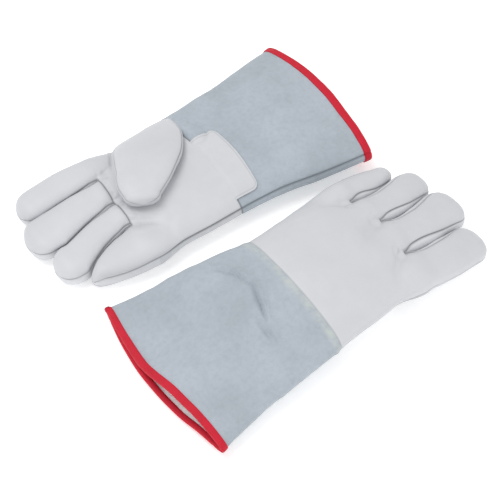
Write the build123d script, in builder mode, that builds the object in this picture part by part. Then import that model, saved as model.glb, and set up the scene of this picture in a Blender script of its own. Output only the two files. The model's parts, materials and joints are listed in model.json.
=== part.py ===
"""A pair of gauntlet gloves for handling cryogenic liquids.

Each glove is a leather hand on a flared suede cuff, lined throughout with quilted wadding.
The two gloves lie side by side, fingers pointing opposite ways: the left one back up with its
thumb tucked under the palm, the right one palm up with its thumb folded across the palm.

Every glove is built in its own frame and then placed: x runs from the cuff's mouth to the
fingertips, y across the hand with the thumb side negative, and z up from the table.
"""

import os
from math import asin, cos, radians, sin
from typing import NamedTuple

from build123d import *

# ---- Materials' thicknesses, in millimetres ----
LEATHER = 1.6
LINER = 2.8
WALL = LEATHER + LINER
TAPE = 1.2
FLAP = 1.6

# ---- The glove along its length ----
WRIST_X = 158.0
KNUCKLE_X = 270.0
MOUTH_WIDTH = 204.0
WRIST_WIDTH = 156.0
KNUCKLE_WIDTH = 160.0
HINGE_GAP = 0.4
TAPE_WIDTH = 9.0

# ---- Fingers ----
FINGER_THICKNESS = 28.0
ROUNDING_SHORT_OF_FULL = 0.3
GUSSET_TO_BACK = 7.0
GUSSET_TO_PALM = 4.0
GUSSET_REACH = 9.0

# ---- Thumb: a wing folded over the palm, hinged along the hand's edge ----
THUMB_EDGE_Y = -70.0
THUMB_START_X = WRIST_X + 0.8
THUMB_END_X = 246.0
THUMB_HEEL_Y = -22.0
THUMB_TIP = (248.0, 17.0)
THUMB_TIP_RADIUS = 22.0
THUMB_CLEARANCE = 1.0
THUMB_HOLE = (178.0, 232.0, -64.0, -42.0)
THUMB_HOLE_CORNER = 6.0
HOLE_INTO_THUMB = 7.4
HOLE_INTO_HAND = 12.0

# ---- The palm's heel flap, sewn down over the cuff ----
FLAP_START_X = 124.0
FLAP_SIDES = (-12.0, 72.0)
FLAP_CORNER = 9.0

# ---- How the two gloves lie ----
MOUTH_TO_CENTRE = 169.4
MOUTH_SPACING = 204.6


class Station(NamedTuple):
    """A flat-sided oval cross-section of the glove."""

    x: float
    centre_y: float
    centre_z: float
    width: float
    height: float


class Finger(NamedTuple):
    """One finger stall. A gusset runs along each side that faces another finger."""

    name: str
    root_y: float
    width: float
    tip_x: float
    gusset_sides: tuple


class Lie(NamedTuple):
    """How one glove lies on the table. palm is +1 for palm up and -1 for palm down."""

    side: str
    palm: int
    base_z: float
    mouth_height: float
    wrist_height: float
    knuckle_height: float
    sideways: float
    thumb_thickness: float
    finger_fan: tuple
    turn: float


FINGERS = (
    Finger("index", -53.0, 38.0, 361.0, (1,)),
    Finger("middle", -12.0, 39.0, 371.0, (-1, 1)),
    Finger("ring", 27.0, 35.0, 362.0, (-1, 1)),
    Finger("little", 65.0, 33.0, 336.0, (-1,)),
)
LEFT = Lie("left", -1, 13.0, 32.0, 32.0, 30.0, 0.0, 13.2, (2.0, 1.0, 1.0, 1.0), 1.6)
RIGHT = Lie("right", 1, 0.0, 44.0, 38.0, 33.0, 6.0, 20.0, (5.0, 5.0, 13.0, 13.0), 178.4)


def stations(lie):
    """Mouth, wrist and knuckle sections. The mouth always rests on the table."""
    return (
        Station(0.0, 0.0, lie.mouth_height / 2, MOUTH_WIDTH, lie.mouth_height),
        Station(
            WRIST_X,
            lie.sideways,
            lie.base_z + lie.wrist_height / 2,
            WRIST_WIDTH,
            lie.wrist_height,
        ),
        Station(
            KNUCKLE_X,
            lie.sideways,
            lie.base_z + lie.knuckle_height / 2,
            KNUCKLE_WIDTH,
            lie.knuckle_height,
        ),
    )


def between(start, end, x):
    """The section at x on the straight run from one station to the next."""
    t = (x - start.x) / (end.x - start.x)
    return Station(x, *(a + t * (b - a) for a, b in zip(start[1:], end[1:])))


def oval_run(start, end, inset):
    """A solid lofted between two stations, its section drawn in by inset."""
    with BuildPart() as run:
        for at in (start, end):
            across = Plane((at.x, at.centre_y, at.centre_z), x_dir=(0, 1, 0), z_dir=(1, 0, 0))
            with BuildSketch(across):
                SlotOverall(at.width - 2 * inset, at.height - 2 * inset)
        loft(ruled=True)
    return run.part


def tube(start, end, outside, inside):
    """A wall between two insets of the same run, open at both ends."""
    with BuildPart() as wall:
        add(oval_run(start, end, outside))
        add(oval_run(start, end, inside), mode=Mode.SUBTRACT)
    return wall.part


def side_seam_plane(start, end):
    """The plane through the side seams of a run, with its normal upwards."""
    return Plane(
        origin=(start.x, 0, start.centre_z),
        x_dir=(end.x - start.x, 0, end.centre_z - start.centre_z),
        z_dir=(start.centre_z - end.centre_z, 0, end.x - start.x),
    )


def half_towards(lie, towards_palm):
    """Which side of a seam plane to keep."""
    return Keep.TOP if lie.palm * (1 if towards_palm else -1) > 0 else Keep.BOTTOM


def palm_z(lie, at):
    """The height of the palm surface at a station."""
    return at.centre_z + lie.palm * at.height / 2


# ---- Cuff ----
def cuff_run(lie):
    mouth, wrist, knuckle = stations(lie)
    return mouth, between(mouth, wrist, WRIST_X - HINGE_GAP)


def cuff_suede(lie, towards_palm):
    start, end = cuff_run(lie)
    with BuildPart() as suede:
        add(tube(start, end, 0, LEATHER))
        split(bisect_by=side_seam_plane(start, end), keep=half_towards(lie, towards_palm))
    return suede.part


def cuff_liner(lie):
    start, end = cuff_run(lie)
    return tube(start, end, LEATHER, WALL)


def cuff_binding(lie):
    """Tape folded over the mouth's raw edge, on the outside and on the inside."""
    start, end = cuff_run(lie)
    lip, hem = between(start, end, -TAPE), between(start, end, TAPE_WIDTH)
    with BuildPart() as binding:
        add(tube(lip, hem, -TAPE, WALL + TAPE))
        add(tube(start, end, 0, WALL), mode=Mode.SUBTRACT)
    return binding.part


def heel_flap(lie):
    """The palm's heel, carried on over the wrist seam and sewn down on the cuff."""
    start, end = cuff_run(lie)
    low_y, high_y = FLAP_SIDES
    long_x = end.x - FLAP_START_X
    with BuildPart() as flap:
        with BuildSketch(Plane.XY.offset(start.centre_z if lie.palm > 0 else -FLAP - TAPE)):
            with Locations((end.x - long_x / 2, (low_y + high_y) / 2)):
                Rectangle(long_x, high_y - low_y)
        extrude(amount=start.height)
        outer_corners = flap.edges().filter_by(Axis.Z).group_by(Axis.X)[0]
        fillet(outer_corners, radius=FLAP_CORNER)
        add(tube(start, end, -FLAP, 0), mode=Mode.INTERSECT)
        split(bisect_by=side_seam_plane(start, end), keep=half_towards(lie, True))
    return flap.part


# ---- Hand ----
def hand_run(lie):
    mouth, wrist, knuckle = stations(lie)
    return between(wrist, knuckle, WRIST_X + HINGE_GAP), knuckle


def thumb_hole(lie):
    """The way from the hand into the thumb stall, through both layers of each."""
    start, end = hand_run(lie)
    low_x, high_x, low_y, high_y = THUMB_HOLE
    surface_z = palm_z(lie, between(start, end, low_x))
    with BuildPart() as hole:
        with BuildSketch(Plane.XY.offset(surface_z)) as outline:
            with Locations(((low_x + high_x) / 2, (low_y + high_y) / 2)):
                RectangleRounded(high_x - low_x, high_y - low_y, THUMB_HOLE_CORNER)
        extrude(outline.sketch, amount=lie.palm * HOLE_INTO_THUMB)
        extrude(outline.sketch, amount=-lie.palm * HOLE_INTO_HAND)
    return hole.part


def hand_leather(lie, towards_palm):
    start, end = hand_run(lie)
    with BuildPart() as leather:
        add(tube(start, end, 0, LEATHER))
        split(bisect_by=side_seam_plane(start, end), keep=half_towards(lie, towards_palm))
        if towards_palm:
            add(thumb_hole(lie), mode=Mode.SUBTRACT)
    return leather.part


def hand_liner(lie):
    start, end = hand_run(lie)
    with BuildPart() as liner:
        add(tube(start, end, LEATHER, WALL))
        add(thumb_hole(lie), mode=Mode.SUBTRACT)
    return liner.part


# ---- Fingers ----
def finger_pitch(lie, finger):
    """How far a finger droops, in radians, so that its tip rests on the table."""
    half = FINGER_THICKNESS / 2
    return asin((lie.base_z + TAPE) / (finger.tip_x - KNUCKLE_X - half))


def finger_plane(lie, finger):
    """Along the finger from its root: x to the tip, z up."""
    pitch = finger_pitch(lie, finger)
    fan = radians(lie.finger_fan[FINGERS.index(finger)])
    return Plane(
        origin=(KNUCKLE_X, finger.root_y, lie.base_z + FINGER_THICKNESS / 2),
        x_dir=(cos(fan) * cos(pitch), sin(fan) * cos(pitch), -sin(pitch)),
        z_dir=(cos(fan) * sin(pitch), sin(fan) * sin(pitch), cos(pitch)),
    )


def finger_form(lie, finger, inset):
    """A round-tipped pillow, cut off square at the knuckles."""
    long, wide = finger.tip_x - KNUCKLE_X - inset, finger.width - 2 * inset
    thick = FINGER_THICKNESS - 2 * inset
    with BuildPart() as form:
        with BuildSketch(finger_plane(lie, finger).offset(-thick / 2)):
            with Locations(((long - wide) / 2, 0)):
                SlotOverall(long + wide, wide)
        body = extrude(amount=thick)
        rims = body.faces().filter_by(finger_plane(lie, finger)).edges()
        fillet(rims, radius=thick / 2 - ROUNDING_SHORT_OF_FULL)
        split(bisect_by=Plane.YZ.offset(KNUCKLE_X + HINGE_GAP), keep=Keep.TOP)
    return form.part


def gusset_zone(lie, finger):
    """The space of the gussets between this finger and its neighbours."""
    long = finger.tip_x - KNUCKLE_X - finger.width / 2
    low = GUSSET_TO_BACK if lie.palm > 0 else GUSSET_TO_PALM
    with BuildPart() as zone:
        with BuildSketch(finger_plane(lie, finger).offset(-low)):
            for side in finger.gusset_sides:
                with Locations((long / 2 - GUSSET_REACH, side * (finger.width - GUSSET_REACH) / 2)):
                    Rectangle(long + 2 * GUSSET_REACH, GUSSET_REACH + 2)
        extrude(amount=GUSSET_TO_BACK + GUSSET_TO_PALM)
    return zone.part


def finger_leather(lie, finger, towards_palm):
    with BuildPart() as leather:
        add(finger_form(lie, finger, 0))
        add(finger_form(lie, finger, LEATHER), mode=Mode.SUBTRACT)
        split(bisect_by=finger_plane(lie, finger), keep=half_towards(lie, towards_palm))
        add(gusset_zone(lie, finger), mode=Mode.SUBTRACT)
    return leather.part


def finger_gussets(lie, finger):
    with BuildPart() as gussets:
        add(finger_form(lie, finger, 0))
        add(finger_form(lie, finger, LEATHER), mode=Mode.SUBTRACT)
        add(gusset_zone(lie, finger), mode=Mode.INTERSECT)
    return gussets.part


def finger_liner(lie, finger):
    with BuildPart() as liner:
        add(finger_form(lie, finger, LEATHER))
        add(finger_form(lie, finger, WALL), mode=Mode.SUBTRACT)
    return liner.part


# ---- Thumb ----
def thumb_middle_z(lie):
    """The height of the thumb's seam, half way through its thickness."""
    start, end = hand_run(lie)
    surface = max(palm_z(lie, start), palm_z(lie, end)) if lie.palm > 0 else lie.base_z
    return surface + lie.palm * (THUMB_CLEARANCE + lie.thumb_thickness / 2)


def thumb_form(lie, inset):
    """A wing, wide along the hand's edge and round at the tip, open along that edge."""
    thick = lie.thumb_thickness - 2 * inset
    beyond = THUMB_EDGE_Y - lie.thumb_thickness
    with BuildPart() as form:
        with BuildSketch(Plane.XY.offset(thumb_middle_z(lie) - thick / 2)) as outline:
            with BuildLine():
                Line((THUMB_START_X, beyond), (THUMB_END_X, beyond))
                Line((THUMB_START_X, THUMB_EDGE_Y), (THUMB_START_X, THUMB_HEEL_Y))
                CenterArc(THUMB_TIP, THUMB_TIP_RADIUS, 0, 360)
            make_hull()
            offset(amount=-inset - lie.thumb_thickness / 2, kind=Kind.INTERSECTION)
            offset(amount=lie.thumb_thickness / 2, kind=Kind.ARC)
        body = extrude(amount=thick)
        rims = body.faces().filter_by(Axis.Z).edges()
        fillet(rims, radius=thick / 2 - ROUNDING_SHORT_OF_FULL)
        split(bisect_by=Plane.XZ.offset(-THUMB_EDGE_Y), keep=Keep.BOTTOM)
    return form.part


def thumb_leather(lie, towards_palm):
    """The inner piece faces the palm when the thumb is folded."""
    seam = Plane.XY.offset(thumb_middle_z(lie))
    with BuildPart() as leather:
        add(thumb_form(lie, 0))
        add(thumb_form(lie, LEATHER), mode=Mode.SUBTRACT)
        split(bisect_by=seam, keep=half_towards(lie, not towards_palm))
        if towards_palm:
            add(thumb_hole(lie), mode=Mode.SUBTRACT)
    return leather.part


def thumb_liner(lie):
    with BuildPart() as liner:
        add(thumb_form(lie, LEATHER))
        add(thumb_form(lie, WALL), mode=Mode.SUBTRACT)
        add(thumb_hole(lie), mode=Mode.SUBTRACT)
    return liner.part


# ---- Assembly ----
def glove(lie):
    """Every piece of one glove, in the glove's own frame."""
    pieces = {
        "cuff_back_suede": cuff_suede(lie, False),
        "cuff_palm_suede": cuff_suede(lie, True),
        "cuff_liner": cuff_liner(lie),
        "cuff_binding": cuff_binding(lie),
        "palm_heel_flap": heel_flap(lie),
        "hand_back_leather": hand_leather(lie, False),
        "palm_leather": hand_leather(lie, True),
        "hand_liner": hand_liner(lie),
        "thumb_outer_leather": thumb_leather(lie, False),
        "thumb_inner_leather": thumb_leather(lie, True),
        "thumb_liner": thumb_liner(lie),
    }
    for finger in FINGERS:
        pieces[f"{finger.name}_back_leather"] = finger_leather(lie, finger, False)
        pieces[f"{finger.name}_front_leather"] = finger_leather(lie, finger, True)
        pieces[f"{finger.name}_gusset"] = finger_gussets(lie, finger)
        pieces[f"{finger.name}_liner"] = finger_liner(lie, finger)
    return pieces


def placement(lie):
    """Where a glove's frame goes: its binding on the table, and the right one turned round."""
    sign = -1 if lie.side == "left" else 1
    return Location((sign * MOUTH_TO_CENTRE, sign * MOUTH_SPACING / 2, TAPE), (0, 0, lie.turn))


def main():
    os.makedirs("parts", exist_ok=True)
    for lie in (LEFT, RIGHT):
        for name, piece in glove(lie).items():
            placed = piece.moved(placement(lie))
            placed.label = f"{lie.side}_{name}"
            export_step(placed, f"parts/{placed.label}.step")


main()
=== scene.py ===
"""The looks of a pair of cryogenic gauntlet gloves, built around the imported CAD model.

Each glove is modelled in its own frame, in millimetres: x runs from the cuff's mouth to the
fingertips, y across the hand with the thumb side negative, and z up from the table. Its skin is
one unbroken grid, from the mouth to the fingertips, which is then cut along its seams into the
leather and suede pieces that the real glove is sewn from.
"""

import json
import math
from typing import NamedTuple

import bpy
import numpy as np
from mathutils import Matrix, Vector


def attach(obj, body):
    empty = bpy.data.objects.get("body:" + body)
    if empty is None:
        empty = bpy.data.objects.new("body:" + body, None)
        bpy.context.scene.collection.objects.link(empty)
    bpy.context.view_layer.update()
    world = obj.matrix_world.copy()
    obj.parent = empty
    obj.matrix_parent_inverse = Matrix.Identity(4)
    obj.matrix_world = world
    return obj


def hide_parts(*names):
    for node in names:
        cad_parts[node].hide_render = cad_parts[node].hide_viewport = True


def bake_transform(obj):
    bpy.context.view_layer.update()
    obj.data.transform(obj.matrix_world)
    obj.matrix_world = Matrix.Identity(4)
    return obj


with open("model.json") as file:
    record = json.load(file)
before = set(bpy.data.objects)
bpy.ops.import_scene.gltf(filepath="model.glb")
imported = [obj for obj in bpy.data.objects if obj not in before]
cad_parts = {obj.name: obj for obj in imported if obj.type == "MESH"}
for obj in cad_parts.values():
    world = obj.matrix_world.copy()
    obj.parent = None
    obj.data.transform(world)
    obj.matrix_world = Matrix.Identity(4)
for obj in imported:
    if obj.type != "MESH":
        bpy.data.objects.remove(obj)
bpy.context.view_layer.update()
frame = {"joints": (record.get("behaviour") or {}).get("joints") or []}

JOINTS = {joint["name"]: joint for joint in frame["joints"]}
FINGERS = ("index", "middle", "ring", "little")

# ---- Sizes along the glove, in millimetres. The CAD model has its wrist seam here too ----
WRIST_X = 158.0
HAND_LENGTH = 110.0
FINGER_CAP = 21.0
FINGER_CAP_THINNING = 17.0
THUMB_CAP = 11.0
FLAP_CORNER = 7.0
FLAP_UNDER_PALM = 3.0
BINDING_INSIDE = 3.6
BINDING_RISE = 1.3

# ---- Thicknesses, in millimetres ----
LEATHER = 1.3
FLAP_LEATHER = 1.5
LINER = 2.8
MOUTH_LINER = 1.0
LINING_GAP = 0.15
SEAM_DEPTH = 1.5

# ---- The lowest that the skin may lie, and the thumb and tape, in millimetres ----
SKIN_FLOOR = 0.3
TRIM_FLOOR = 0.2

# ---- The grid: columns round a section, and its rows ----
FINGER_COLUMNS = 20
SIDE_COLUMNS = 8
TOP_COLUMNS = 4 * FINGER_COLUMNS
RING = 2 * (TOP_COLUMNS + SIDE_COLUMNS)
TOP_PINCH = 0.016
SIDE_PINCH = 0.1
ROW_SPACING = 2.2
WRIST_ROW_SPACING = 1.3
HAND_ROWS = 50
CAP_ROWS = 16
CAP_START = 0.75
THUMB_TOP_COLUMNS = 30
THUMB_UNDER_COLUMNS = 42
THUMB_ROWS = 56
THUMB_CAP_ROWS = 17
THUMB_CAP_SHARE = 0.16

# ---- Sections and seams. A seam's angle is in degrees, and its mark is from 0 to 1 ----
HAND_POWER = 2.35
THUMB_POWER = 2.4
LOWER_SEAM = 32.0
THUMB_SEAM = 13.0
BESIDE_SEAM = 0.16
BESIDE_THUMB_SEAM = 0.22
FAINT_SEAM = 0.35

# ---- Points that the pieces pass to bend(), in a glove's own frame. A knuckle's pair is given by its spacing ----
BEND_HEIGHT = 20
WRIST_BEND = ((112, 0, BEND_HEIGHT), (143, 0, BEND_HEIGHT))
KNUCKLE_BEND = 18
THUMB_BEND_X = 200


class Fold(NamedTuple):
    """A crease along a path on the upper side: a furrow, with a raised lip along its left. A
    furrow of negative depth is a swelling."""

    path: tuple
    width: float
    depth: float
    lip: float


class Flap(NamedTuple):
    """The palm heel's flap: its edge towards the mouth, and its two sides."""

    edge_x: float
    low_y: float
    high_y: float


class Glove(NamedTuple):
    """One glove as it lies: palm up is up = 1, and back up is up = -1.

    sections: x, middle y, half width, lowest z and highest z, along the cuff and hand
    upper_lip, lower_lip: how far the mouth's outline strays from x = 0, by y
    mouth_closing: how far the mouth's far side is pressed flat, from 0 to 1
    tape_width, lap_column: the tape's width outside, and the column where its ends lap
    wrist_bow: how far the wrist seam strays towards the fingers, mid-hand and on the thumb side
    wrist_roll: how far the cuff's end swells beside the wrist seam
    side_seam: the angle of the outer side seams, in degrees
    near_seams, far_seams: the angles of a finger's upper seams, from its root to its tip
    edges: the five lines beside and between the fingers, from the crotches to the tips
    tips: each fingertip's x
    finger_z, finger_half: a finger's middle height and half thickness, at its root and its tip
    thumb: the two edges of the thumb's middle surface, and its thickness, from root to tip
    thumb_bend: y and z of the two points that the thumb's pieces pass to bend() where the random
    draws for its unevenness start
    """

    side: str
    up: int
    sections: tuple
    upper_lip: tuple
    lower_lip: tuple
    mouth_closing: float
    tape_width: float
    lap_column: int
    wrist_bow: tuple
    wrist_roll: float
    side_seam: float
    near_seams: tuple
    far_seams: tuple
    edges: tuple
    tips: tuple
    finger_z: tuple
    finger_half: tuple
    finger_power: float
    folds: tuple
    thumb: tuple
    thumb_bend: tuple
    flap: Flap
    seed: int


LEFT = Glove(
    side="left",
    up=-1,
    sections=(
        (0, 1, 102, 2.4, 29),
        (60, 2, 91, 2, 36),
        (110, 0, 85.5, 4, 40),
        (158, -2, 79, 8, 42),
        (200, -1, 77.5, 12.5, 45),
        (240, 2, 78, 13, 45),
        (275, 2, 80, 12, 43),
    ),
    upper_lip=((-100, -1), (-60, -4), (-33, -7.5), (14, -11), (56, -8), (100, -1)),
    lower_lip=((-100, -1), (-68, -4), (-41, -9), (-13, -12), (20, -13), (56, -9.5), (100, -1)),
    mouth_closing=0.6,
    tape_width=5.4,
    lap_column=49,
    wrist_bow=(-2.0, -4.5),
    wrist_roll=0.8,
    side_seam=-4.0,
    near_seams=(38.0, 50.0, 32.0, 12.0),
    far_seams=(38.0, 49.0, 48.0, 20.0),
    edges=(
        ((268, -79), (300, -81), (335, -79)),
        ((271, -35), (300, -36), (350, -33)),
        ((279, 12), (305, 11), (345, 18)),
        ((270, 50), (300, 50), (335, 57)),
        ((266, 83), (300, 83), (325, 80)),
    ),
    tips=(358.5, 371.0, 363.0, 341.0),
    finger_z=(26.0, 14.6),
    finger_half=(16.5, 14.0),
    finger_power=2.5,
    folds=(
        Fold(((102, 68), (116, 46), (122, 22)), 2.2, 3.6, 2.4),
        Fold(((125, 31), (119, 11), (113, -7), (104, -27)), 2.0, 5.2, 3.4),
        Fold(((104, -8), (100, -27), (102, -46)), 2.1, 3.4, 2.4),
        Fold(((128, 40), (133, 10), (122, -20)), 6.0, 1.4, 1.0),
        Fold(((60, 60), (100, 30), (110, -10)), 14.0, 1.2, 0.6),
        Fold(((30, -70), (80, -40), (130, -45)), 16.0, 1.4, 0.5),
        Fold(((165, 40), (200, 30), (235, 45)), 14.0, 0.8, 0.3),
        Fold(((245, 2), (262, 8), (276, 11)), 4.0, 0.9, 0.5),
    ),
    thumb=(
        ((164, -54, 19), (240, -56, 20), 6),
        ((163, -62, 13), (241, -63, 13), 8),
        ((164, -54, 7.4), (243, -55, 7.4), 10.5),
        ((172, -24, 6.9), (249, -30, 6.9), 12.2),
        ((190, 0, 6.9), (260, -8, 6.9), 12.4),
        ((212, 16, 6.9), (266, 4, 6.9), 12.4),
        ((226, 26, 6.9), (264, 15, 6.9), 12),
    ),
    thumb_bend=((-57, 20), (-40, 5)),
    flap=Flap(edge_x=126.0, low_y=-10.0, high_y=78.0),
    seed=3,
)

RIGHT_LIP = ((-100, 4), (-83, 3), (-47, -3), (10, -5), (55, -2), (98, 1))
RIGHT = Glove(
    side="right",
    up=1,
    sections=(
        (0, -2, 101, 2.4, 43),
        (60, 3, 92, 0.7, 45),
        (110, 4, 84, 0.5, 43),
        (158, 7.5, 79.5, 0.5, 39),
        (200, 10, 79, 0.5, 37),
        (240, 13, 77, 0.5, 36),
        (275, 15, 79, 0.5, 34),
    ),
    upper_lip=RIGHT_LIP,
    lower_lip=RIGHT_LIP,
    mouth_closing=0.0,
    tape_width=7.4,
    lap_column=TOP_COLUMNS + SIDE_COLUMNS + 30,
    wrist_bow=(2.5, 13.0),
    wrist_roll=0.0,
    side_seam=12.0,
    near_seams=(38.0, 20.0, 12.0, 6.0),
    far_seams=(38.0, 24.0, 14.0, 6.0),
    edges=(
        ((266, -65), (310, -67), (345, -62)),
        ((270, -29), (310, -27), (352, -22)),
        ((271, 9), (305, 15), (338, 26)),
        ((270, 43), (300, 50), (335, 69)),
        ((266, 94), (300, 92), (325, 86)),
    ),
    tips=(361.0, 372.0, 362.0, 336.0),
    finger_z=(16.8, 14.0),
    finger_half=(16.0, 13.4),
    finger_power=2.9,
    folds=(
        Fold(((170, -60), (162, -42), (155, -24), (153, -10)), 5.5, -3.5, 0.0),
        Fold(((158, -60), (148, -42), (142, -26), (143, -12), (151, -5), (162, -8)), 1.7, 2.4, 0.0),
        Fold(((234, -66), (240, -54), (246, -42), (251, -30)), 1.7, 3.0, 1.2),
        Fold(((268, -30), (267, -10), (267, 18), (267, 47)), 1.1, 0.9, 0.0),
        Fold(((40, 40), (90, 10), (120, -30)), 18.0, 1.2, 0.6),
        Fold(((225, 58), (238, 70), (246, 86)), 5.0, 0.9, 0.5),
        Fold(((238, 44), (250, 52), (262, 50)), 5.0, 0.7, 0.4),
    ),
    thumb=(
        ((162, -58, 13), (228, -52, 13), 5),
        ((161, -65, 21), (234, -58, 26), 6.5),
        ((161, -62, 30.5), (238, -50, 33.5), 9),
        ((162, -48, 37.5), (245, -38, 39.5), 12),
        ((165, -27, 42), (252, -23, 42.5), 15.5),
        ((179, -3, 45), (258, -9, 45), 18.5),
        ((197, 15, 46.5), (263, 1, 46), 20),
        ((214, 28.5, 46), (266, 11, 45.5), 19.5),
        ((230, 38, 45), (266, 23, 44.5), 18),
    ),
    thumb_bend=((-60, 16), (-40, 40)),
    flap=Flap(edge_x=131.0, low_y=-13.5, high_y=77.0),
    seed=8,
)


# ---- Small maths ----
def smoothstep(t):
    t = np.clip(t, 0.0, 1.0)
    return t * t * (3 - 2 * t)


def curve(xs, ys, x):
    """A smooth curve through a few points, with slopes taken between neighbours."""
    xs, ys, x = (np.asarray(v, float) for v in (xs, ys, x))
    slopes = np.gradient(ys, xs)
    at = np.clip(np.searchsorted(xs, x) - 1, 0, len(xs) - 2)
    step = xs[at + 1] - xs[at]
    t = np.clip((x - xs[at]) / step, 0, 1)
    h00, h10 = (1 + 2 * t) * (1 - t) ** 2, t * (1 - t) ** 2
    h01, h11 = t * t * (3 - 2 * t), t * t * (t - 1)
    return h00 * ys[at] + h10 * step * slopes[at] + h01 * ys[at + 1] + h11 * step * slopes[at + 1]


def pinched(count, pinch):
    """Shares from 0 to 1, with a close neighbour at each end."""
    return np.concatenate([[0], np.linspace(pinch, 1 - pinch, count - 1), [1]])


def rounded(t, power):
    """The share of its full size that a round end keeps, t of the way along it."""
    return np.sqrt(np.clip(1 - np.clip(t, 0, 1) ** power, 0, 1))


def oval(angles, power):
    """A superellipse's unit points at these angles."""
    c, s = np.cos(angles), np.sin(angles)
    return np.sign(c) * np.abs(c) ** (2 / power), np.sign(s) * np.abs(s) ** (2 / power)


def ripple(points, wavelength, seed, count=11):
    """Smooth unevenness, mostly between -1 and 1, the same on every run."""
    draw = np.random.default_rng(seed)
    turn = draw.normal(size=(count, 3))
    turn *= (2 * np.pi / wavelength) / np.linalg.norm(turn, axis=1)[:, None]
    turn *= draw.uniform(0.6, 1.5, (count, 1))
    phase = draw.uniform(0, 2 * np.pi, count)
    return np.sin(points @ turn.T + phase).sum(1) / math.sqrt(count) / 1.4


def beside(points, path):
    """Each point's signed distance from a flat path, and its share of the way along."""
    path = np.asarray(path, float)
    steps = np.linalg.norm(np.diff(path, axis=0), axis=1)
    starts = np.concatenate([[0], np.cumsum(steps)])
    nearest = np.full(len(points), 1e9)
    signed, share = nearest.copy(), np.zeros(len(points))
    for a, b, step, start in zip(path, path[1:], steps, starts):
        t = np.clip((points - a) @ (b - a) / step ** 2, 0, 1)
        away = points - a - t[:, None] * (b - a)
        distance = np.linalg.norm(away, axis=1)
        side = np.sign((b - a)[0] * away[:, 1] - (b - a)[1] * away[:, 0])
        closer = distance < nearest
        nearest = np.where(closer, distance, nearest)
        signed = np.where(closer, distance * side, signed)
        share = np.where(closer, (start + t * step) / starts[-1], share)
    return signed, share


def fold_height(points, fold):
    """How far a fold moves points in or out."""
    distance, share = beside(points[:, :2], fold.path)
    fade = np.sin(np.pi * np.clip(share, 0.001, 0.999)) ** 0.6
    furrow = -fold.depth * np.exp(-((distance / fold.width) ** 2))
    lip = fold.lip * np.exp(-(((distance - 1.9 * fold.width) / (1.3 * fold.width)) ** 2))
    return fade * (furrow + lip)


# ---- A glove's skin as one grid ----
def ring_angles(near, far, top_columns):
    """Angles round a section: over the top from the thumb side, and back underneath. near and
    far are the upper seams' angles on the thumb side and the other, in degrees."""
    near, far, low = math.radians(near), math.radians(far), math.radians(LOWER_SEAM)
    over, round_side = pinched(top_columns, TOP_PINCH), pinched(SIDE_COLUMNS, SIDE_PINCH)
    top = math.pi - near - (math.pi - near - far) * over
    side = far - (far + low) * round_side
    bottom = -low - (math.pi - 2 * low) * over
    other = low - math.pi - (near + low) * round_side
    return np.concatenate([top[:-1], side[:-1], bottom[:-1], other[:-1]])


def finger_ring(glove, which, along):
    """Angles round a finger, a share of the way along it."""
    stations = (0.0, 0.25, 0.6, 1.0)
    near = glove.side_seam if which == 0 else float(curve(stations, glove.near_seams, along))
    far = glove.side_seam if which == 3 else float(curve(stations, glove.far_seams, along))
    return ring_angles(near, far, FINGER_COLUMNS)


def wrist_shift(glove, points):
    """How far the wrist seam strays towards the fingers, and takes the rows near it along."""
    middle, thumb_side = glove.wrist_bow
    near = np.exp(-(((points[:, 0] - WRIST_X) / 42) ** 2))
    return near * (middle + (thumb_side - middle) * smoothstep((20 - points[:, 1]) / 110))


def mouth_pressed(glove, x):
    """How far the cuff is pressed flat at each x, where it is pressed at all."""
    return glove.mouth_closing * smoothstep(1 - x / 100)


def hand_points(glove, x, angles):
    """Points of the cuff and hand at each x and angle."""
    xs, ys, halves, lows, highs = zip(*glove.sections)
    middle_y, half = curve(xs, ys, x), curve(xs, halves, x)
    low, high = curve(xs, lows, x), curve(xs, highs, x)
    middle_z = low + 0.45 * (high - low)
    c, s = oval(angles, HAND_POWER)
    z = middle_z + np.where(s > 0, (high - middle_z) * s, (middle_z - low) * s)
    closed = mouth_pressed(glove, x) * smoothstep((c + 0.3) / 0.6)
    z = low + (z - low) * (1 - closed)
    points = np.stack([x + 0 * angles, middle_y + half * c, z], -1)
    points[:, 0] += wrist_shift(glove, points)
    upper = curve(*zip(*glove.upper_lip), points[:, 1])
    lower = curve(*zip(*glove.lower_lip), points[:, 1])
    stray = lower + (upper - lower) * smoothstep(s + 0.5)
    points[:, 0] += stray * np.clip(1 - x / WRIST_X, 0, 1) ** 3
    return points


def palm_surface(glove, x, y):
    """Points on the palm side of the cuff and hand, over or under each x and y."""
    xs, ys, halves, _, _ = zip(*glove.sections)
    c = np.clip((y - curve(xs, ys, x)) / curve(xs, halves, x), -0.999, 0.999)
    s = (1 - np.abs(c) ** HAND_POWER) ** (1 / HAND_POWER)
    rise, run = glove.up * s ** (HAND_POWER / 2), np.sign(c) * np.abs(c) ** (HAND_POWER / 2)
    return hand_points(glove, x, np.arctan2(rise, run))


def finger_points(glove, which, x, angles):
    """Points of a finger at each x and angle."""
    near = curve(*zip(*glove.edges[which]), x)
    far = curve(*zip(*glove.edges[which + 1]), x)
    tip, root_x = glove.tips[which], glove.edges[which][0][0]
    narrow = rounded((x - (tip - FINGER_CAP)) / FINGER_CAP, 2.3)
    flat = rounded((x - (tip - FINGER_CAP_THINNING)) / FINGER_CAP_THINNING, 2.2)
    along = np.clip((x - root_x) / (tip - root_x), 0, 1)
    z = glove.finger_z[0] + (glove.finger_z[1] - glove.finger_z[0]) * along ** 0.9
    thick = glove.finger_half[0] + (glove.finger_half[1] - glove.finger_half[0]) * along ** 0.5
    c, s = oval(angles, glove.finger_power)
    half = (far - near) / 2 - 0.15
    middle = (near + far) / 2
    return np.stack([x + 0 * angles, middle + half * narrow * c, z + thick * flat * s], -1)


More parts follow.
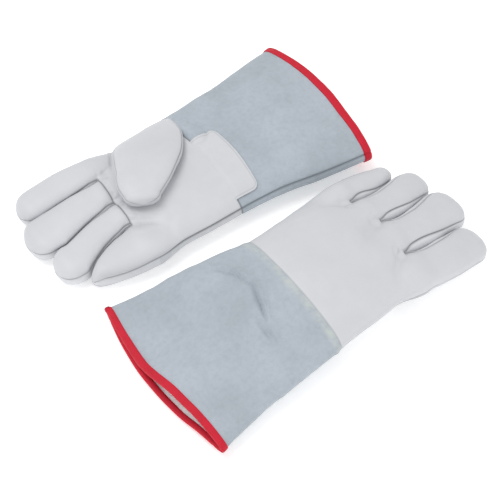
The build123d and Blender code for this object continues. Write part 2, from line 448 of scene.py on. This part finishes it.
def ring_faces(grid):
    """The faces between a grid's rows of point numbers, where each row is a closed ring."""
    following = np.roll(grid, -1, axis=1)
    return np.stack([grid[:-1], grid[1:], following[1:], following[:-1]], -1)


class Skin:
    """A glove's outer skin: its points, a grid of point numbers for each part of it, the point at
    each fingertip, and how far each point is on a seam and in the pale band along the wrist."""

    def __init__(self, glove):
        self.glove = glove
        self.points = np.zeros((0, 3))
        self.grids = {}
        self.poles = {}
        self.build_hand()
        webs = [self.web(boundary) for boundary in (1, 2, 3)]
        for which, finger in enumerate(FINGERS):
            self.build_finger(which, finger, webs)
        self.faces = np.concatenate([self.part_faces(part) for part in self.grids])
        self.seam = np.zeros(len(self.points))
        self.mark_seams()
        self.band = np.zeros(len(self.points))
        if glove.up < 0:
            self.mark_band()

    def add(self, points):
        """Adds points, and returns their numbers."""
        numbers = np.arange(len(self.points), len(self.points) + len(points))
        self.points = np.concatenate([self.points, points])
        return numbers

    def build_hand(self):
        """Rows from the mouth to the wrist seam, and on to the knuckle row, whose shape they take
        on over the last third of the hand."""
        glove = self.glove
        angles = ring_angles(glove.side_seam, glove.side_seam, TOP_COLUMNS)
        rows = int(WRIST_X / ROW_SPACING)
        stations = np.append(np.linspace(0, WRIST_X - WRIST_ROW_SPACING, rows), WRIST_X)
        cuff = [self.add(hand_points(glove, np.full(RING, x), angles)) for x in stations]
        root = self.knuckle_row()
        first = WRIST_ROW_SPACING / HAND_LENGTH
        hand = [cuff[-1]]
        for share in np.append(first, np.linspace(3 * first, 1 - first, HAND_ROWS)):
            ring = hand_points(glove, WRIST_X + (root[:, 0] - WRIST_X) * share, angles)
            ring[:, 1:] += smoothstep((share - 0.66) / 0.34) * (root - ring)[:, 1:]
            hand.append(self.add(ring))
        hand.append(self.add(root))
        self.grids["cuff"], self.grids["hand"] = np.array(cuff), np.array(hand)

    def knuckle_row(self):
        """The row where the hand divides into four fingers."""
        glove, n, m = self.glove, FINGER_COLUMNS, SIDE_COLUMNS
        root = np.zeros((RING, 3))
        for which in range(4):
            angles = finger_ring(glove, which, 0)
            start, end = glove.edges[which][0][0], glove.edges[which + 1][0][0]
            xs = np.linspace(start, end, n + 1)
            top, low = which * n, TOP_COLUMNS + m + (3 - which) * n
            root[top:top + n + 1] = finger_points(glove, which, xs, angles[:n + 1])
            under = finger_points(glove, which, xs[::-1], angles[n + m:2 * n + m + 1])
            root[low:low + n + 1] = under
        for boundary in (1, 2, 3):
            for k in (boundary * n, TOP_COLUMNS + m + (4 - boundary) * n):
                root[k, 1] = glove.edges[boundary][0][1]
        xs, angles = np.full(m + 1, float(glove.edges[4][0][0])), finger_ring(glove, 3, 0)
        root[TOP_COLUMNS:TOP_COLUMNS + m + 1] = finger_points(glove, 3, xs, angles[n:n + m + 1])
        xs, angles = np.full(m, float(glove.edges[0][0][0])), finger_ring(glove, 0, 0)
        root[2 * TOP_COLUMNS + m:] = finger_points(glove, 0, xs, angles[2 * n + m:])
        return root

    def web(self, boundary):
        """The crotch between two fingers, from the top down to the underside."""
        last = self.grids["hand"][-1]
        top = last[boundary * FINGER_COLUMNS]
        bottom = last[TOP_COLUMNS + SIDE_COLUMNS + (4 - boundary) * FINGER_COLUMNS]
        t = pinched(SIDE_COLUMNS, SIDE_PINCH)[1:-1, None]
        between = self.points[top] * (1 - t) + self.points[bottom] * t
        between[:, 0] += 2.5 * np.sin(np.pi * t[:, 0])
        return np.concatenate([[top], self.add(between), [bottom]])

    def build_finger(self, which, finger, webs):
        """Rows from the knuckle row to the fingertip, which take on the finger's own shape over
        their first 15 mm."""
        glove, n, m = self.glove, FINGER_COLUMNS, SIDE_COLUMNS
        last, tip = self.grids["hand"][-1], glove.tips[which]
        low = TOP_COLUMNS + m + (3 - which) * n
        outer = last[TOP_COLUMNS:TOP_COLUMNS + m] if which == 3 else webs[which][:-1]
        inner = last[2 * TOP_COLUMNS + m:] if which == 0 else webs[which - 1][:0:-1]
        root = np.concatenate([last[which * n:which * n + n], outer, last[low:low + n], inner])
        start, grid = self.points[root], [root]
        cap = tip - FINGER_CAP
        rows = int((cap - start[:, 0].max()) / ROW_SPACING)
        for share in np.append(0.014, np.linspace(0.045, 1, rows)):
            x = start[:, 0] + (cap - start[:, 0]) * share
            plain = finger_points(glove, which, x, finger_ring(glove, which, CAP_START * share))
            run_on = start.copy()
            run_on[:, 0] = x
            w = smoothstep((x - start[:, 0]) / 15)[:, None]
            grid.append(self.add(run_on + w * (plain - run_on)))
        for turn in np.linspace(0, math.pi / 2, CAP_ROWS + 1)[1:-1]:
            x = np.full(len(root), cap + FINGER_CAP * math.sin(turn))
            angles = finger_ring(glove, which, CAP_START + (1 - CAP_START) * math.sin(turn))
            grid.append(self.add(finger_points(glove, which, x, angles)))
        self.grids[finger] = np.array(grid)
        end = finger_points(glove, which, np.array([tip]), np.array([0.0]))
        self.poles[finger] = self.add(end)[0]

    def part_faces(self, part, columns=None):
        """The faces of a part, or of those of its columns in a range of numbers."""
        grid = self.grids[part]
        faces = ring_faces(grid)
        if part in self.poles:
            pole = np.full(grid.shape[1], self.poles[part])
            cap = np.stack([grid[-1], pole, pole, np.roll(grid[-1], -1)], -1)
            faces = np.concatenate([faces, cap[None]])
        if columns is not None:
            faces = faces[:, columns]
        return faces.reshape(-1, 4)

    def mark_band(self):
        """Marks the pale band on the cuff's upper side, which fades out from 5 to 11 mm off the
        wrist seam."""
        over = self.grids["cuff"][:, :TOP_COLUMNS + 1].ravel()
        back = WRIST_X + wrist_shift(self.glove, self.points[over]) - self.points[over, 0]
        self.band[over] = smoothstep((11 - back) / 6)

    def mark_seams(self):
        """Marks points on a seam 1, and those next to one partly."""
        for part, grid in self.grids.items():
            top = FINGER_COLUMNS if part in FINGERS else TOP_COLUMNS
            for column in (0, top, top + SIDE_COLUMNS, 2 * top + SIDE_COLUMNS):
                after = (column + 1) % grid.shape[1]
                self.mark(grid[:, column], grid[:, column - 1], grid[:, after])
        self.seam[list(self.poles.values())] = 1.0
        cuff, hand = self.grids["cuff"], self.grids["hand"]
        self.mark(cuff[-1], cuff[-2], hand[1])
        over_wrist = np.concatenate([row[1:TOP_COLUMNS] for row in (cuff[-2], cuff[-1], hand[1])])
        if self.glove.up < 0:
            self.seam[over_wrist] *= FAINT_SEAM
            return
        y, flap = self.points[over_wrist, 1], self.glove.flap
        self.seam[over_wrist[(y > flap.low_y + 2) & (y < flap.high_y - 2)]] = 0
        for finger in ("middle", "ring"):
            root, after = self.grids[finger][:2, :FINGER_COLUMNS + 1]
            self.mark(root, after, hand[-2][np.isin(hand[-1], root)])

    def mark(self, on, *neighbours):
        self.seam[on] = 1.0
        for numbers in neighbours:
            self.seam[numbers] = np.maximum(self.seam[numbers], BESIDE_SEAM)


def face_crosses(points, faces):
    """Each face's normal, with twice its area as the length."""
    corners = points[faces]
    return np.cross(corners[:, 2] - corners[:, 0], corners[:, 3] - corners[:, 1])


def point_normals(points, faces):
    """Each point's normal, from the faces around it."""
    across = face_crosses(points, faces)
    normals = np.zeros_like(points)
    for k in range(4):
        np.add.at(normals, faces[:, k], across)
    return normals / np.maximum(np.linalg.norm(normals, axis=1), 1e-9)[:, None]


def crotch_height(points, x, y):
    """The puckers that fan out behind a crotch at x and y, and the furrow round them."""
    away = points[:, :2] - (x - 1.0, y)
    distance = np.linalg.norm(away, axis=1)
    angle = np.arctan2(away[:, 1], -away[:, 0])
    puckers = 0.55 * np.cos(angle * 7) * np.exp(-((distance - 5) / 5) ** 2)
    furrow = 0.8 * np.exp(-((distance - 10.5) / 1.3) ** 2)
    return smoothstep((1.9 - np.abs(angle)) / 0.6) * (puckers - furrow)


def unevenness(glove, points, normals):
    """How far the soft skin stands out from its plain shape at each point."""
    height = 0.7 * ripple(points, 70, glove.seed) + 0.28 * ripple(points, 24, glove.seed + 1)
    height += 0.1 * ripple(points, 9, glove.seed + 2)
    upper = smoothstep((normals[:, 2] - 0.1) / 0.4)
    for fold in glove.folds:
        height += upper * fold_height(points, fold)
    for edge in glove.edges[1:4]:
        height += upper * crotch_height(points, *edge[0])
    roll = np.exp(-(((points[:, 0] - wrist_shift(glove, points) - WRIST_X + 5.5) / 3.2) ** 2))
    return height + glove.wrist_roll * roll


# ---- Turning points into pieces ----
def placement(glove):
    """A glove's frame in the row, read off its wrist joint: its turn, and its mouth's place."""
    joint = JOINTS[f"{glove.side}_wrist_flex"]
    across = Vector(joint["axis"]) * -glove.up
    along = Vector((across.y, -across.x, 0))
    mouth = Vector(joint["pos_m"]) - along * WRIST_X / 1000
    turn = Matrix((along, across, (0, 0, 1))).transposed()
    return np.array(turn), np.array((mouth.x, mouth.y, 0.0))


def to_row(glove, points):
    """Points in the glove's frame, in millimetres, as points in the row's, in metres."""
    turn, mouth = placement(glove)
    return np.asarray(points, float) @ turn.T / 1000 + mouth


def make_mesh(name, points, faces, normals=None, seam=None, band=None):
    """A smooth mesh object from points in metres. seam and band are marks that its look reads."""
    mesh = bpy.data.meshes.new(name)
    mesh.from_pydata(points.tolist(), [], [tuple(dict.fromkeys(f)) for f in faces.tolist()])
    mesh.update()
    mesh.polygons.foreach_set("use_smooth", np.ones(len(mesh.polygons), bool))
    for key, marks in (("seam", seam), ("band", band)):
        values = np.zeros(len(points), np.float32) if marks is None else marks.astype(np.float32)
        mesh.attributes.new(key, "FLOAT", "POINT").data.foreach_set("value", values)
    if normals is not None:
        mesh.normals_split_custom_set_from_vertices(normals.tolist())
    piece = bpy.data.objects.new(name, mesh)
    bpy.context.scene.collection.objects.link(piece)
    return piece


def shell(name, glove, points, normals, faces, thickness, seam, sunk=0.0, band=None):
    """Part of a surface as a thin closed piece: its outside, inside and rim. sunk is how far
    its outside lies beneath the surface."""
    used, local = np.unique(faces, return_inverse=True)
    local = local.reshape(faces.shape)
    facing = normals[used]
    outside = points[used] - facing * np.broadcast_to(sunk, len(points))[used, None]
    inside = outside - facing * np.broadcast_to(thickness, len(points))[used, None]
    count, open_edges = len(used), {}
    for face in local.tolist():
        corners = list(dict.fromkeys(face))
        for a, b in zip(corners, corners[1:] + corners[:1]):
            if open_edges.pop((b, a), None) is None:
                open_edges[(a, b)] = True
    rim = [(b, a, a + count, b + count) for a, b in open_edges]
    both = to_row(glove, np.concatenate([outside, inside]))
    every = np.concatenate([local, local[:, ::-1] + count, np.array(rim).reshape(-1, 4)])
    facing = facing @ placement(glove)[0].T
    marks = np.concatenate([seam[used], 0 * seam[used]])
    pale = None if band is None else np.concatenate([band[used], 0 * band[used]])
    return make_mesh(name, both, every, np.concatenate([facing, -facing]), marks, pale)


def bend(glove, piece, a, b, start, end):
    """Bakes a piece's placement into its points."""
    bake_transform(piece)


# ---- Materials ----
def new_material(name, roughness, sheen=0.0):
    material = bpy.data.materials.new(name)
    material.use_nodes = True
    shader = material.node_tree.nodes["Principled BSDF"]
    shader.inputs["Roughness"].default_value = roughness
    shader.inputs["Specular IOR Level"].default_value = 0.35
    shader.inputs["Sheen Weight"].default_value = sheen
    return material, material.node_tree.nodes, material.node_tree.links, shader


def noise(nodes, links, coordinates, scale, detail, roughness):
    node = nodes.new("ShaderNodeTexNoise")
    node.inputs["Scale"].default_value = scale
    node.inputs["Detail"].default_value = detail
    node.inputs["Roughness"].default_value = roughness
    links.new(coordinates.outputs["Object"], node.inputs["Vector"])
    return node.outputs["Fac"]


def read_marks(nodes, name):
    """The marks of that name on a piece's points, as make_mesh wrote them."""
    node = nodes.new("ShaderNodeAttribute")
    node.attribute_name = name
    return node.outputs["Fac"]


def product(nodes, links, first, second):
    node = nodes.new("ShaderNodeMath")
    node.operation = "MULTIPLY"
    links.new(first, node.inputs[0])
    if isinstance(second, float):
        node.inputs[1].default_value = second
    else:
        links.new(second, node.inputs[1])
    return node.outputs[0]


def mix_colours(nodes, links, factor, first, second):
    node = nodes.new("ShaderNodeMix")
    node.data_type = "RGBA"
    links.new(factor, node.inputs["Factor"])
    for socket, value in ((node.inputs["A"], first), (node.inputs["B"], second)):
        if isinstance(value, tuple):
            socket.default_value = (*value, 1)
        else:
            links.new(value, socket)
    return node.outputs["Result"]


def ramp(nodes, links, value, low, high):
    node = nodes.new("ShaderNodeMapRange")
    node.inputs["From Min"].default_value = low
    node.inputs["From Max"].default_value = high
    links.new(value, node.inputs["Value"])
    return node.outputs["Result"]


def skin_material(
    name, light, dark, seam, roughness, grain, bump, mottle, sheen=0.0, fleck=0.0, band=None
):
    """Leather, suede or cloth: two mottled tones, darker flecks, painted shade along the seams in
    the seam colour, and a grain. mottle and grain are noise scales, and band is the tone of the
    strip along a wrist seam."""
    material, nodes, links, shader = new_material(name, roughness, sheen)
    coordinates = nodes.new("ShaderNodeTexCoord")
    cloud = noise(nodes, links, coordinates, mottle, 5, 0.62)
    colour = mix_colours(nodes, links, ramp(nodes, links, cloud, 0.34, 0.66), light, dark)
    if fleck:
        flecks = ramp(nodes, links, noise(nodes, links, coordinates, 210, 4, 0.7), 0.42, 0.68)
        colour = mix_colours(nodes, links, product(nodes, links, flecks, fleck), colour, seam)
    if band:
        worn = ramp(nodes, links, noise(nodes, links, coordinates, 75, 4, 0.6), 0.68, 0.38)
        share = product(nodes, links, worn, read_marks(nodes, "band"))
        colour = mix_colours(nodes, links, share, colour, band)
    # Painted shade: the seam colour is mixed in along the seam marks, for the shade in the seam
    # grooves.
    edge = ramp(nodes, links, read_marks(nodes, "seam"), 0.1, 1.0)
    colour = mix_colours(nodes, links, edge, colour, seam)
    links.new(colour, shader.inputs["Base Color"])
    pores = noise(nodes, links, coordinates, grain, 4, 0.6)
    relief = nodes.new("ShaderNodeBump")
    relief.inputs["Strength"].default_value = bump
    relief.inputs["Distance"].default_value = 0.0006
    links.new(pores, relief.inputs["Height"])
    links.new(relief.outputs["Normal"], shader.inputs["Normal"])
    return material


# The tone that the leathers paint along their seams: painted shade, standing in for the shade in
# the seam grooves.
LEATHER_SEAM_SHADE = (0.19, 0.195, 0.205)
LOOK_FACTS = {
    "grain_leather": dict(
        light=(0.585, 0.595, 0.62), dark=(0.55, 0.56, 0.585), seam=LEATHER_SEAM_SHADE,
        roughness=0.46, grain=900, bump=0.25, mottle=14,
    ),
    # Painted light: the gussets are the same leather, painted lighter to offset the shade that
    # falls between the fingers.
    "gusset_leather": dict(
        light=(0.645, 0.655, 0.68), dark=(0.605, 0.615, 0.64), seam=LEATHER_SEAM_SHADE,
        roughness=0.48, grain=900, bump=0.25, mottle=14,
    ),
    "heel_leather": dict(
        light=(0.582, 0.592, 0.614), dark=(0.55, 0.56, 0.582), seam=LEATHER_SEAM_SHADE,
        roughness=0.5, grain=900, bump=0.25, mottle=18,
    ),
    # The suede's seam colour is both the real dark tone of its flecks and the painted shade along
    # its seams.
    "suede": dict(
        light=(0.43, 0.475, 0.53), dark=(0.365, 0.41, 0.45), seam=(0.19, 0.215, 0.24),
        roughness=0.92, grain=1300, bump=0.45, mottle=17, sheen=0.1, fleck=0.17,
        band=(0.49, 0.525, 0.52),
    ),
    "wadding": dict(
        light=(0.95, 0.95, 0.95), dark=(0.90, 0.90, 0.90), seam=(0.6, 0.6, 0.6),
        roughness=0.95, grain=500, bump=0.45, mottle=60, sheen=0.2,
    ),
    "binding_tape": dict(
        light=(0.58, 0.006, 0.027), dark=(0.51, 0.005, 0.022), seam=(0.3, 0.003, 0.008),
        roughness=0.62, grain=1800, bump=0.5, mottle=90,
    ),
}
LOOKS = {name: skin_material(name, **facts) for name, facts in LOOK_FACTS.items()}


def finish_piece(piece, slot, node):
    """Gives a piece its look, and hides the CAD node that it stands for."""
    piece.data.materials.append(LOOKS[slot])
    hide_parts(node)


# ---- The glove's pieces ----
def make_lining(skin, normals, name, faces, node):
    """The wadding under a part of the skin, squeezed thin by the binding at the mouth."""
    glove = skin.glove
    x, y = skin.points[:, 0], skin.points[:, 1]
    thickness = MOUTH_LINER + (LINER - MOUTH_LINER) * smoothstep((x - BINDING_INSIDE) / 14)
    # Where the mouth is pressed flat, the lining is thinner still, and drawn in at its far side.
    pressed = mouth_pressed(glove, x)
    thickness *= 1 - pressed * smoothstep((y + 30) / 60)
    points = skin.points.copy()
    points[:, 1] -= 6.5 * pressed * smoothstep(y / 100)
    lining = shell(
        f"{glove.side}_{name}", glove, points, normals, faces, thickness,
        0 * skin.seam, sunk=LEATHER + LINING_GAP,
    )
    finish_piece(lining, "wadding", f"{glove.side}_{node}")
    return lining


def make_panel(skin, normals, name, faces, slot, node):
    """A panel of leather or suede, stretched over its lining."""
    glove = skin.glove
    panel = shell(
        f"{glove.side}_{name}", glove, skin.points, normals, faces, LEATHER, skin.seam,
        band=skin.band,
    )
    finish_piece(panel, slot, f"{glove.side}_{node}")
    return panel


def make_cuff_and_hand(skin, normals):
    glove = skin.glove
    over, under = slice(0, TOP_COLUMNS), slice(TOP_COLUMNS, RING)
    back, palm = (under, over) if glove.up > 0 else (over, under)
    lining = make_lining(
        skin, normals, "cuff_lining", skin.part_faces("cuff"), "cuff_liner"
    )
    bend(glove, lining, "cuff", "hand", *WRIST_BEND)
    for name, columns in (("back", back), ("palm", palm)):
        panel = make_panel(
            skin, normals, f"cuff_{name}", skin.part_faces("cuff", columns), "suede",
            f"cuff_{name}_suede",
        )
        bend(glove, panel, "cuff", "hand", *WRIST_BEND)
    lining = make_lining(
        skin, normals, "hand_lining", skin.part_faces("hand"), "hand_liner"
    )
    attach(lining, f"{glove.side}_hand")
    for name, columns, node in (
        ("back", back, "hand_back_leather"),
        ("palm", palm, "palm_leather"),
    ):
        panel = make_panel(
            skin, normals, f"hand_{name}", skin.part_faces("hand", columns), "grain_leather",
            node,
        )
        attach(panel, f"{glove.side}_hand")


def finger_normals(skin, normals, which, finger):
    """The skin's normals, but with a finger's own on the webs that it shares."""
    n, m = FINGER_COLUMNS, SIDE_COLUMNS
    own = point_normals(skin.points, skin.part_faces(finger))
    root = skin.grids[finger][0]
    webs = [] if which == 3 else [root[n + 1:n + m]]
    webs += [] if which == 0 else [root[2 * n + m + 1:]]
    merged = normals.copy()
    for web in webs:
        merged[web] = own[web]
    return merged


def make_finger(skin, normals, which, finger):
    glove, n, m = skin.glove, FINGER_COLUMNS, SIDE_COLUMNS
    normals = finger_normals(skin, normals, which, finger)
    over, under = slice(0, n), slice(n + m, 2 * n + m)
    sides = np.r_[n:n + m, 2 * n + m:2 * n + 2 * m]
    back, front = (under, over) if glove.up > 0 else (over, under)
    root = max(glove.edges[which][0][0], glove.edges[which + 1][0][0]) + 1.0
    start, end = (root, 0, BEND_HEIGHT), (root + KNUCKLE_BEND, 0, BEND_HEIGHT)
    lining = make_lining(
        skin, normals, f"{finger}_lining", skin.part_faces(finger), f"{finger}_liner"
    )
    bend(glove, lining, "hand", finger, start, end)
    for name, columns, slot, node in (
        ("back", back, "grain_leather", "back_leather"),
        ("front", front, "grain_leather", "front_leather"),
        ("gusset", sides, "gusset_leather", "gusset"),
    ):
        panel = make_panel(
            skin, normals, f"{finger}_{name}", skin.part_faces(finger, columns), slot,
            f"{finger}_{node}",
        )
        bend(glove, panel, "hand", finger, start, end)


def binding_profile(width, wall):
    """The tape's outline across the mouth's edge, where the cuff is as thick as wall: how far
    into the cuff, and how far out from its skin. It runs from the outside to the inside."""
    inner = -wall - 0.9
    outside = [(width, 0.1), (width - 0.3, 1.1)]
    outside += [(share * width, BINDING_RISE) for share in (0.75, 0.5, 0.25, 0)]
    edge = [(-0.9, 0.9), (-1.6, -0.4), (-1.8, -wall / 2), (-1.6, 0.2 - wall), (-0.9, inner + 0.3)]
    inside = [(0.3, inner), (BINDING_INSIDE / 2, inner), (BINDING_INSIDE, inner)]
    return outside + edge + inside + [(BINDING_INSIDE + 0.3, 0.1 - wall)]


def make_binding(skin, normals):
    """The tape folded over the cuff's mouth, lapped over itself on one side."""
    glove, side = skin.glove, skin.glove.side
    grid = skin.grids["cuff"]
    ring, facing = skin.points[grid], normals[grid]
    stations = ring[:, 0, 0] - ring[0, 0, 0]
    wall = LEATHER + MOUTH_LINER + 0.3
    lap = np.zeros((RING, 1))
    lap[glove.lap_column - 4:glove.lap_column + 5] = 0.7
    line = []
    for reach, rise in binding_profile(glove.tape_width, wall):
        inward = max(reach, 0)
        row = int(np.clip(np.searchsorted(stations, inward), 1, len(grid) - 1))
        before, after = stations[row - 1:row + 1]
        t = np.clip((inward - before) / (after - before), 0, 1)
        out = facing[row - 1] * (1 - t) + facing[row] * t
        spot = ring[row - 1] * (1 - t) + ring[row] * t
        spot += out * (rise + lap * np.sign(rise + wall / 2))
        spot[:, 0] += min(reach, 0)
        line.append(spot)
    points = np.concatenate(line)
    points[:, 2] = np.maximum(points[:, 2], TRIM_FLOOR)
    numbers = np.arange(len(points)).reshape(len(line), RING)
    following = np.roll(numbers, -1, axis=1)
    corners = [numbers, following, np.roll(following, -1, axis=0), np.roll(numbers, -1, axis=0)]
    faces = np.stack(corners, -1).reshape(-1, 4)
    tape = make_mesh(f"{side}_binding", to_row(glove, points), faces)
    finish_piece(tape, "binding_tape", f"{side}_cuff_binding")
    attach(tape, f"{side}_cuff")


def patch_faces(rows, columns):
    """The faces of an open grid of points, numbered row by row."""
    numbers = np.arange(rows * columns).reshape(rows, columns)
    corners = [numbers[:-1, :-1], numbers[1:, :-1], numbers[1:, 1:], numbers[:-1, 1:]]
    return np.stack(corners, -1).reshape(-1, 4)


def make_flap(skin):
    """The palm heel's leather flap, lapped over the cuff from the wrist seam."""
    glove, side = skin.glove, skin.glove.side
    edge_x, low_y, high_y = glove.flap
    rows, columns = 26, 60
    share = pinched(rows - 1, 0.02)[:, None]
    across = pinched(columns - 1, 0.008)[None, :]
    long = WRIST_X - edge_x
    inset = FLAP_CORNER * (1 - rounded(1 - (1 - share) * long / FLAP_CORNER, 2))
    bowed = 2.0 * np.sin(np.pi * across)
    x = WRIST_X + FLAP_UNDER_PALM - share * (long + FLAP_UNDER_PALM + bowed)
    y = low_y + inset + across * (high_y - low_y - 2 * inset)
    plain = palm_surface(glove, x.ravel(), y.ravel())
    faces = patch_faces(rows, columns)
    if glove.up > 0:
        faces = faces[:, ::-1]
    facing = point_normals(plain, faces)
    # It starts just under the palm's leather, and has risen onto the cuff 6 mm further on.
    raised = -0.5 + 2.0 * smoothstep(share * long / 6 + 0 * across).ravel()
    points = plain + facing * (unevenness(glove, plain, facing) + raised)[:, None]
    facing = point_normals(points, faces)
    # A faint seam runs round its free edges, a row or two in: a shallow groove, with painted shade
    # along it.
    border = np.minimum(np.minimum(across, 1 - across) * columns, (1 - share) * rows)
    seam = np.clip(1 - np.abs(border - 1.6) / 0.8, 0, 1).ravel() * FAINT_SEAM
    points -= facing * (seam * 1.2)[:, None]
    flap = shell(f"{side}_heel_flap", glove, points, facing, faces, FLAP_LEATHER, seam)
    finish_piece(flap, "heel_leather", f"{side}_palm_heel_flap")
    bend(glove, flap, "cuff", "hand", *WRIST_BEND)


def thumb_points(glove, angles, shares):
    """Rows of points round the thumb, from its root to its tip, and how deep the thumb is
    under each point."""
    near, far, thick = (np.array(v, float) for v in zip(*glove.thumb))
    middle = (near + far) / 2
    steps = np.linalg.norm(np.diff(middle, axis=0), axis=1)
    stations = np.concatenate([[0], np.cumsum(steps)])
    end = stations[-1]

    def along(line, at):
        return np.array([curve(stations, line[:, k], at) for k in range(3)])

    rows, depths = [], []
    for share in shares:
        reach = share * (end + THUMB_CAP)
        at, past = min(reach, end), max(reach - end, 0) / THUMB_CAP
        one, two = along(near, at), along(far, at)
        width = np.linalg.norm(two - one)
        across = (two - one) / width
        up = np.cross(across, along(middle, min(at + 2, end)) - along(middle, max(at - 2, 0)))
        up /= np.linalg.norm(up)
        centre = (one + two) / 2 + np.cross(up, across) * (THUMB_CAP * past)
        c, s = oval(angles, THUMB_POWER)
        spot = centre + across * (width / 2 * rounded(past, 1.9) * c)[:, None]
        height = float(curve(stations, thick, at)) / 2 * rounded(past, 2.6) * s
        rows.append(spot + up * height[:, None])
        depths.append(np.abs(height))
    return np.array(rows), np.array(depths).ravel()


def make_thumb(skin):
    glove, side = skin.glove, skin.glove.side
    seam_angle = math.radians(THUMB_SEAM)
    over = pinched(THUMB_TOP_COLUMNS, 0.02)
    top = math.pi - seam_angle - (math.pi - 2 * seam_angle) * over
    below = seam_angle - (math.pi + 2 * seam_angle) * pinched(THUMB_UNDER_COLUMNS, 0.012)
    angles = np.concatenate([top[:-1], below[:-1]])
    cap = 1 - THUMB_CAP_SHARE * np.cos(np.linspace(0, np.pi / 2, THUMB_CAP_ROWS + 1))[1:]
    shares = np.concatenate([np.linspace(0, 1 - THUMB_CAP_SHARE, THUMB_ROWS), cap])
    rows, depths = thumb_points(glove, angles, shares)
    points, columns = rows.reshape(-1, 3), len(angles)
    strips = ring_faces(np.arange(len(points)).reshape(-1, columns))
    outside = point_normals(points, strips.reshape(-1, 4))
    from_middle = (rows - rows.mean(1)[:, None]).reshape(-1, 3)
    if (from_middle * outside).sum() < 0:
        strips, outside = strips[..., ::-1], -outside
    seam = np.zeros(rows.shape[:2])
    for column in (0, THUMB_TOP_COLUMNS):
        seam[:, column] = 1
        seam[:, column - 1] = seam[:, (column + 1) % columns] = BESIDE_THUMB_SEAM
    seam = seam.ravel()
    height = 0.5 * ripple(points, 45, 21) + 0.18 * ripple(points, 16, 22) - SEAM_DEPTH * seam
    points = points + outside * height[:, None]
    points[:, 2] = np.maximum(points[:, 2], TRIM_FLOOR)
    faces = strips.reshape(-1, 4)
    outside = point_normals(points, faces)
    start, end = ((THUMB_BEND_X, y, z) for y, z in glove.thumb_bend)
    # Leather and wadding are thinner where the thumb is shallow, so that both stay inside it.
    cover = np.minimum(LEATHER, 0.1 + 0.8 * depths)
    room = np.clip(0.9 * depths - cover - 0.3, 0.1, LINER)
    lining = shell(
        f"{side}_thumb_lining", glove, points, outside, faces, room, 0 * seam, sunk=cover + 0.1
    )
    finish_piece(lining, "wadding", f"{side}_thumb_liner")
    bend(glove, lining, "hand", "thumb", start, end)
    outer, inner = strips[:, :THUMB_TOP_COLUMNS], strips[:, THUMB_TOP_COLUMNS:]
    for name, part in (("outer", outer.reshape(-1, 4)), ("inner", inner.reshape(-1, 4))):
        panel = shell(f"{side}_thumb_{name}", glove, points, outside, part, cover, seam)
        finish_piece(panel, "grain_leather", f"{side}_thumb_{name}_leather")
        bend(glove, panel, "hand", "thumb", start, end)


def make_glove(glove):
    skin = Skin(glove)
    normals = point_normals(skin.points, skin.faces)
    height = unevenness(glove, skin.points, normals) - SEAM_DEPTH * skin.seam
    skin.points = skin.points + normals * height[:, None]
    skin.points[:, 2] = np.maximum(skin.points[:, 2], SKIN_FLOOR)
    normals = point_normals(skin.points, skin.faces)
    make_cuff_and_hand(skin, normals)
    for which, finger in enumerate(FINGERS):
        make_finger(skin, normals, which, finger)
    make_binding(skin, normals)
    make_flap(skin)
    make_thumb(skin)


# ---- The set ----
def make_floor():
    corners = [(-4, -4, 0), (4, -4, 0), (4, 4, 0), (-4, 4, 0)]
    mesh = bpy.data.meshes.new("floor")
    mesh.from_pydata(corners, [], [(0, 1, 2, 3)])
    floor = bpy.data.objects.new("floor", mesh)
    bpy.context.scene.collection.objects.link(floor)
    material, _, _, shader = new_material("floor", 0.9)
    shader.inputs["Base Color"].default_value = (0.93, 0.93, 0.93, 1)
    shader.inputs["Emission Color"].default_value = (1, 1, 1, 1)
    shader.inputs["Emission Strength"].default_value = 0.3
    floor.data.materials.append(material)


def place_facing(thing, place, target):
    """Puts a light or camera in the scene, looking at the target."""
    thing.location = place
    thing.rotation_euler = (Vector(target) - Vector(place)).to_track_quat("-Z", "Y").to_euler()
    bpy.context.scene.collection.objects.link(thing)


def make_light(name, place, size, power):
    light = bpy.data.lights.new(name, "AREA")
    light.shape, light.size, light.energy = "DISK", size, power
    place_facing(bpy.data.objects.new(name, light), place, (0, 0, 0))


def make_camera():
    camera = bpy.data.cameras.new("camera")
    camera.lens, camera.sensor_width = 89.08, 36
    eye = bpy.data.objects.new("camera", camera)
    place_facing(eye, (-0.4628, -0.6728, 1.0244), (-0.0077, -0.0144, 0))
    bpy.context.scene.camera = eye


def light_the_set():
    world = bpy.data.worlds.new("studio")
    world.use_nodes = True
    background = world.node_tree.nodes["Background"]
    background.inputs["Color"].default_value = (1, 1, 1, 1)
    background.inputs["Strength"].default_value = 0.70
    bpy.context.scene.world = world
    bpy.context.scene.view_settings.view_transform = "Standard"
    make_light("key", (-0.45, 0.6, 1.6), 1.2, 12.5)
    make_light("fill", (-1.3, -0.9, 0.9), 1.2, 3.5)
    make_light("front", (0.7, -1.5, 0.9), 1.4, 7)


make_glove(LEFT)
make_glove(RIGHT)
make_floor()
make_camera()
light_the_set()
